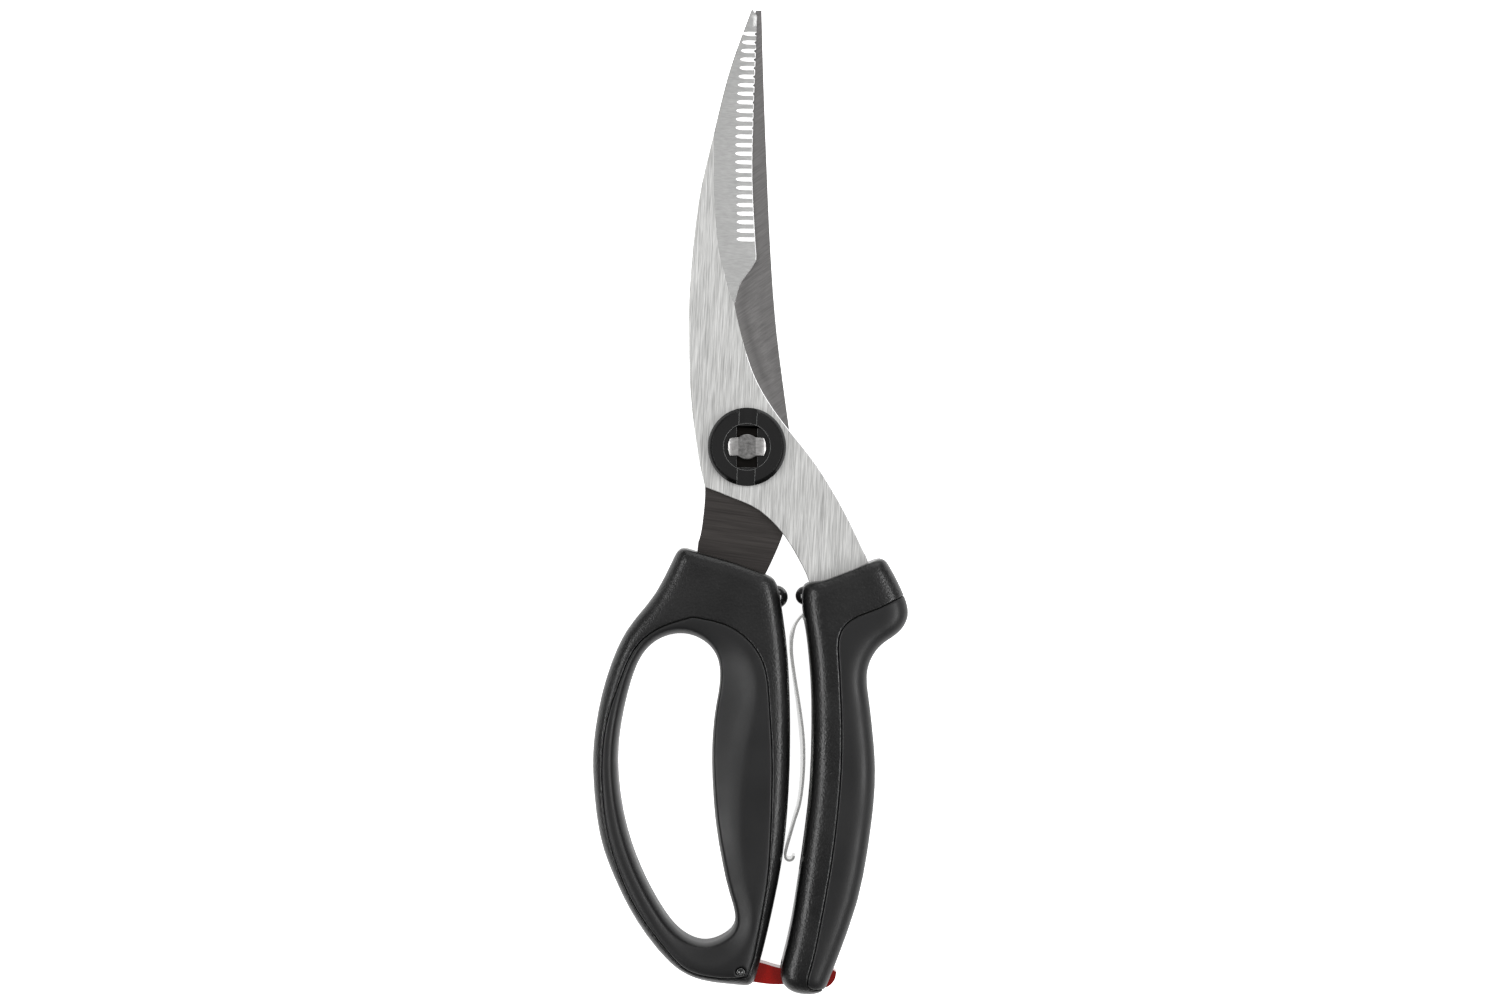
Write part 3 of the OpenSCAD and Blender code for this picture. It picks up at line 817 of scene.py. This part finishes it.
def rounded_loop(points, step=0.7, corner=24.0):
    """A closed outline resampled through smooth curves between its corners."""
    run = np.roll(points, -1, 0) - points
    points = points[np.linalg.norm(run, axis=1) > 0.02]
    run = np.roll(points, -1, 0) - points
    angle = np.arctan2(run[:, 1], run[:, 0])
    turn = np.degrees(np.abs((angle - np.roll(angle, 1) + np.pi) % (2 * np.pi) - np.pi))
    corners = np.flatnonzero(turn > corner)
    out = []
    count = len(points)
    for i, start in enumerate(corners):
        end = corners[(i + 1) % len(corners)]
        stretch = points[np.arange(start, end + (count if end <= start else 0) + 1) % count]
        for k in range(len(stretch) - 1):
            near = stretch[max(k - 1, 0) : k + 3]
            lead = 1 if k else 0
            per = max(1, math.ceil(np.linalg.norm(stretch[k + 1] - stretch[k]) / step))
            out.append(spline(near, per)[lead * per : (lead + 1) * per])
    return np.vstack(out) if out else points


def inset(points, by):
    """A closed outline moved to its left by a small distance."""
    along = np.roll(points, -1, 0) - np.roll(points, 1, 0)
    along /= np.linalg.norm(along, axis=1, keepdims=True)
    return points + by * np.stack([-along[:, 1], along[:, 0]], 1)


def inside_of(points, outlines):
    """Which points lie inside an odd number of closed outlines."""
    odd = np.zeros(len(points), bool)
    for loop in outlines:
        for (x0, y0), (x1, y1) in zip(loop, np.roll(loop, -1, 0)):
            if y0 != y1:
                crosses = (points[:, 1] < y0) != (points[:, 1] < y1)
                odd ^= crosses & (points[:, 0] < x0 + (points[:, 1] - y0) * (x1 - x0) / (y1 - y0))
    return odd


def flat_triangles(outlines, rims, lines, grid):
    """Points of the plan, and the triangles inside the outlines that follow the rims and lines."""
    verts, edges = [], []
    loops = [points for pair in zip(outlines, rims) for points in pair]
    for points, closed in [(p, True) for p in loops] + [(p, False) for p in lines]:
        first = len(verts)
        verts.extend(Vector(p) for p in points)
        edges.extend((first + i, first + i + 1) for i in range(len(points) - 1))
        if closed:
            edges.append((first + len(points) - 1, first))
    verts.extend(Vector(p) for p in grid[inside_of(grid, rims)])
    flat, _, tris, *_ = mathutils.geometry.delaunay_2d_cdt(verts, edges, [], 0, POINT_TIE)
    flat = np.array(flat)
    tris = np.array(tris)
    return flat, tris[inside_of(flat[tris].mean(1), outlines)]


def side_walls(tris, count):
    """Quads from the free edges of the upper triangles down to the lower ones, count further on."""
    sides = np.vstack([tris[:, [0, 1]], tris[:, [1, 2]], tris[:, [2, 0]]])
    _, where, times = np.unique(
        np.sort(sides, 1), axis=0, return_index=True, return_counts=True
    )
    rim = sides[where[times == 1]]
    return np.column_stack([rim[:, 1], rim[:, 0], rim[:, 0] + count, rim[:, 1] + count])


def crease(mesh):
    """Marks sharp edges where faces meet at an angle or their materials differ."""
    bm = bmesh.new()
    bm.from_mesh(mesh)
    bm.normal_update()
    for edge in bm.edges:
        if len(edge.link_faces) == 2:
            first, second = edge.link_faces
            folded = first.normal.angle(second.normal, 0) > CREASE
            edge.smooth = not (folded or first.material_index != second.material_index)
    bm.to_mesh(mesh)
    bm.free()


def blade_mesh(node, up, top, bottom, finish, lines, name, materials, body, rim_finish=0):
    """A blade between two height functions, whose facets follow its outlines and the given lines.

    The chamfer round its right side takes the material numbered rim_finish, if that isn't 0, as a
    painted highlight."""
    outlines = [rounded_loop(loop) for loop in face_loops(node, up)]
    widest = max(range(len(outlines)), key=lambda i: np.ptp(outlines[i][:, 1]))
    rims = []
    for i, loop in enumerate(outlines):
        x, y = loop.T
        area = (x * np.roll(y, -1) - np.roll(x, -1) * y).sum()
        turn = 1 if (area > 0) == (i == widest) else -1
        rims.append(inset(loop, turn * EDGE_CHAMFER))
    lo, hi = box_mm(node)
    spread = [np.arange(lo[i], hi[i], GRID_STEP) for i in (0, 1)]
    grid = np.stack(np.meshgrid(*spread), -1).reshape(-1, 2)
    flat, tris = flat_triangles(outlines, rims, lines, grid)
    middle = flat[tris].mean(1)
    x, y = flat.T
    ends = np.vstack(outlines)
    nexts = np.vstack([np.roll(o, -1, 0) for o in outlines])
    on_edge = np.concatenate([
        distances(flat[i : i + BATCH], ends, nexts).min(1) for i in range(0, len(flat), BATCH)
    ])
    drop = np.maximum(EDGE_CHAMFER - on_edge, 0)
    low = bottom(x, y)
    high = np.maximum(top(x, y) - drop, low + THINNEST)
    count = len(flat)
    points = np.vstack([np.column_stack([x, y, high]), np.column_stack([x, y, low])])
    walls = side_walls(tris, count)
    faces = tris.tolist() + (tris[:, ::-1] + count).tolist() + walls.tolist()
    kinds = np.concatenate([
        finish(*middle.T, 1), finish(*middle.T, -1), np.zeros(len(walls), int)
    ])
    if rim_finish:
        corners = points[tris]
        facing = np.cross(corners[:, 1] - corners[:, 0], corners[:, 2] - corners[:, 0])
        facing /= np.linalg.norm(facing, axis=1, keepdims=True)
        along = middle[:, 1]
        # Painted highlight: the chamfer faces along the cutting edge, away from the notch and the
        # point.
        bright = (along < NOTCH_Y[0]) | ((along > NOTCH_Y[1]) & (along < BRIGHT_TOP_Y))
        kinds[: len(tris)][(facing[:, 0] > SIDE_FACING) & bright] = rim_finish
    used = np.unique(np.concatenate([tris.ravel(), tris.ravel() + count]))
    renumber = np.full(2 * count, -1)
    renumber[used] = np.arange(len(used))
    faces = [[int(renumber[i]) for i in face] for face in faces]
    mesh = bpy.data.meshes.new(name)
    mesh.from_pydata((points[used] * MM + PIVOT).tolist(), [], faces)
    mesh.polygons.foreach_set("material_index", kinds.astype(np.int32))
    crease(mesh)
    dress(mesh, name, materials, body, node)


BEVEL_FOOT_Y = 40.4
BEVEL_LINE = spline([
    (-9.96, 140), (-9.96, 110), (-9.96, 93.7), (-9.9, 79.5), (-9.4, 68.4), (-8.5, 59.1),
    (-7.0, 52.9), (-5.6, 47.4), (-3.0, BEVEL_FOOT_Y),
], 6)


def bevel_run(x, y):
    """How far a point lies right of the line where the ground bevel starts."""
    run = x - np.interp(y, BEVEL_LINE[::-1, 1], BEVEL_LINE[::-1, 0])
    return np.where(y < BEVEL_FOOT_Y, -1.0, run)


def scallop_end(k):
    """Where scallop k, counted from the point, starts. They bow to the left."""
    bow = np.radians(SCALLOP_BOW_DEG) * np.minimum(1, SCALLOP_BOW_RATE * k / (SCALLOPS - 1))
    return SCALLOP_X - SCALLOP_BOW * np.sin(bow)


def scallop_depth(x, y):
    """Depth of the nearest scallop's groove, which is above 0 only inside it."""
    k = np.clip(np.round((SCALLOP_TOP_Y - y) / SCALLOP_PITCH), 0, SCALLOPS - 1)
    s = np.clip((x - scallop_end(k)) / SCALLOP_END, 0, 1)
    fullness = 1 - (1 - s) ** 2
    off = (y - (SCALLOP_TOP_Y - SCALLOP_PITCH * k)) / SCALLOP_W
    return SCALLOP_DEPTH * np.maximum(fullness - off**2, 0) * (bevel_run(x, y) > 0)


def front_top(x, y):
    return BLADE_HI - BEVEL_SLOPE * np.maximum(bevel_run(x, y), 0) - scallop_depth(x, y)


def front_finish(x, y, side):
    """0 for the flat, 1 for the bevel and 2 inside a scallop, painted white as a highlight."""
    if side < 0:
        return np.zeros(len(x), int)
    return np.where(bevel_run(x, y) < 0, 0, np.where(scallop_depth(x, y) > POINT_TIE, 2, 1))


QUARTER = np.radians(np.arange(0, 91, 15))


def scallop_lines():
    """Lines along each scallop's edges and bottom, from its blind end to beyond the blade."""
    lines = []
    for k in range(SCALLOPS):
        y = SCALLOP_TOP_Y - SCALLOP_PITCH * k
        x = scallop_end(k)
        for part in SCALLOP_LINES:
            end = np.column_stack([
                x + SCALLOP_END * (1 - np.cos(QUARTER)), y + part * SCALLOP_W * np.sin(QUARTER)
            ])
            lines.append(np.vstack([end, [x + LINE_REACH, end[-1, 1]]]))
    return lines


def flat_bottom(x, y):
    return np.full_like(x, BLADE_LO)


blade_mesh(
    "front_blade", -1, front_top, flat_bottom, front_finish, [BEVEL_LINE] + scallop_lines(),
    "front_blade_steel", [BLADE, BEVEL, PAINTED_HIGHLIGHT_STEEL], "grip_half", rim_finish=2,
)

REAR_TURN = math.radians(-3.5)
REAR_SLOPE = math.tan(math.radians(12))
REAR_START = (1.2, 84)  # a point on the line where the outer bevel starts
REAR_FOOT_Y = 48
REAR_FADE = 6
HOLLOW_W = 4.8
HOLLOW_DEPTH = ([8, 20, 45, 58, 125], [0.0, 0.9, 0.9, 0.5, 0.3])  # at these heights y
HOLLOW_LINE = spline([
    (9.6, 8), (3.9, 22), (-0.9, 38), (-0.6, 46), (1.8, 53), (2.2, 60), (1.2, 100), (1.8, 128),
], 6)
SHANK_Y = -4
PIVOT_SHADE_R = 8


def rear_run(x, y):
    """How far a point lies left of the line where the outer bevel starts."""
    return -((x - REAR_START[0]) * math.cos(REAR_TURN) + (y - REAR_START[1]) * math.sin(REAR_TURN))


def rear_bottom(x, y):
    start = np.clip((y - REAR_FOOT_Y) / REAR_FADE, 0, 1)
    return -BLADE_HI + REAR_SLOPE * np.maximum(rear_run(x, y), 0) * start


def rear_top(x, y):
    """The inner face, ground hollow above the pivot."""
    middle = np.interp(y, HOLLOW_LINE[:, 1], HOLLOW_LINE[:, 0])
    depth = np.interp(y, *HOLLOW_DEPTH)
    hollow = depth * np.exp(-(((x - middle) / HOLLOW_W) ** 2))
    return -BLADE_LO - hollow


def rear_finish(x, y, side):
    """0 for the flats, 1 for the outer bevel, 2 for the shank and 3 round the pivot; the flats, the
    shank and the pivot are painted shade, darker in that order.
    """
    if side < 0:
        return np.where((rear_run(x, y) > 0) & (y > REAR_FOOT_Y), 1, 0)
    return np.where(np.hypot(x, y) < PIVOT_SHADE_R, 3, np.where(y < SHANK_Y, 2, 0))


REAR_X = (-10, 12)  # the hollow's facets follow a square grid of 1 mm over this much of the blade
REAR_Y = (8, 130)
SHANK_X = 30

rear_lines = [np.array([(x, y) for y in np.arange(*REAR_Y, 1.0)]) for x in np.arange(*REAR_X, 1.0)]
rear_lines.append(np.array([(-SHANK_X, SHANK_Y), (SHANK_X, SHANK_Y)]))
blade_mesh(
    "rear_blade", 1, rear_top, rear_bottom, rear_finish,
    rear_lines, "rear_blade_steel", [REAR_PAINTED_SHADE, DARK_EDGE, SHANK_PAINTED_SHADE, PIVOT_PAINTED_SHADE], "loop_half",
)

# ---------------------------------------------------------------- pivot, spring, latch and stops

DIMPLE = 0.2
DIMPLE_EDGE = 0.15


def turned(node, name, body, material, at, round_mm, sides=48):
    """A round bar of a node's size, standing at a point, with rounded ends and a dimple in each."""
    lo, hi = box_mm(node)
    radius = (hi[0] - lo[0]) / 2
    half = (hi[2] - lo[2]) / 2
    edge = [
        (radius - round_mm * (1 - math.cos(t)), half - round_mm * (1 - math.sin(t)))
        for t in QUARTER
    ]
    profile = edge + [(0.5 * radius, half), (0.3 * radius, half - DIMPLE_EDGE)]
    profile = [(r, -z) for r, z in reversed(profile)] + profile
    angle = 2 * np.pi * np.arange(sides) / sides
    rings = [
        np.column_stack([at[0] + r * np.cos(angle), at[1] + r * np.sin(angle), np.full(sides, z)])
        for r, z in profile
    ]
    middles = [(*at[:2], DIMPLE - half), (*at[:2], half - DIMPLE)]
    faces = []
    last = (len(profile) - 1) * sides
    for i in range(sides):
        j = (i + 1) % sides
        for row in range(0, last, sides):
            faces.append((row + i, row + j, row + sides + j, row + sides + i))
        faces.append((last + sides, j, i))
        faces.append((last + i, last + j, last + sides + 1))
    add_mesh(name, np.vstack([*rings, middles]), faces, [material], body, node)


RING_EDGE_R = 10.3


def ring_faces(face):
    """1 for the rounded edges of the ring's recess and channel, painted a lighter grey as a
    highlight.
    """
    x, y, _ = to_mm(face.calc_center_median())
    return int(0.15 < face.normal.z < 0.97 and math.hypot(x, y) < RING_EDGE_R)


softened("pivot_ring", "ring_moulding", "grip_half", [RING, RING_PAINTED_HIGHLIGHT], 0.35, ring_faces, segments=3)

WING_X = 2.6
WING_CURVE = 0.05


def wing_slope(x, y, z):
    """The stud's T head slopes down more and more towards the ends of its wings."""
    drop = WING_CURVE * max(abs(x) - WING_X, 0) ** 2
    return np.array([x, y, z - (drop if z > BLADE_HI else 0)])


def stud_faces(face):
    """1 for the riveted middle of the stud's head."""
    return int(abs(to_mm(face.calc_center_median())[0]) < WING_X)


wing_cuts = [side * (WING_X + 0.5 * k) for side in (-1, 1) for k in range(7)]
softened(
    "pivot_stud", "stud_forging", "loop_half", [STEEL, RIVET], 0.5, stud_faces,
    segments=4, move=wing_slope, cuts=wing_cuts,
)
softened("stud_washer", "washer_steel", "loop_half", [PIN], 0.15)
softened("loop_bumper", "loop_stop", "loop_half", [GLOSS], 0.1)
softened("grip_bumper", "grip_stop", "grip_half", [GLOSS], 0.1)

LEAN = (  # how much the strip leans, and how far below the pivot
    [52, 56, 60, 68, 85, 108, 118, 122],
    [0, 0.08, 0.04, 0.05, 0.11, 0.05, 0.01, 0],
)


def strip_lean(x, y, z):
    """The strip leans a little, so that its lower edge lies further left than its upper one."""
    lean = np.interp(-y, *LEAN)
    return np.array([x - lean * (STRIP_Z - z), y, z])


def strip_faces(face):
    """1 for the strip's narrow edges."""
    return int(abs(face.normal.z) > 0.7)


softened(
    "leaf_spring", "spring_leaf", "spring", [STRIP, PIN], 0.1, strip_faces, move=strip_lean
)
softened("latch_arm", "latch_lever", "latch", [RED], 1.5, segments=5)
turned("latch_pin", "latch_pivot_pin", "loop_half", PIN_PAINTED_SHADE, LATCH, 0.35)
softened("latch_sleeve", "sleeve", "loop_half", [NYLON], 0.1)
softened("latch_catch", "catch_clip", "grip_half", [STRIP], 0.08)

for node in ("loop_tang_pins", "grip_tang_pins", "spring_pin", "catch_pin"):
    piece = frame["nodes"][node]
    piece.data.materials.clear()
    piece.data.materials.append(PIN)

# ---------------------------------------------------------------- floor

FLOOR_R = 3.0
FLOOR_Z = -2e-4
FLOOR_GLOW = 0.95

floor_mesh = bpy.data.meshes.new("floor")
floor_corners = [(x * FLOOR_R, y * FLOOR_R, FLOOR_Z) for x, y in ((-1, -1), (1, -1), (1, 1), (-1, 1))]
floor_mesh.from_pydata(floor_corners, [], [(0, 1, 2, 3)])
floor = bpy.data.objects.new("floor", floor_mesh)
bpy.context.scene.collection.objects.link(floor)
floor_white, _, _ = new_material("floor_white", (0.9, 0.9, 0.9), 0.7, Emission_Strength=FLOOR_GLOW)
floor_mesh.materials.append(floor_white)
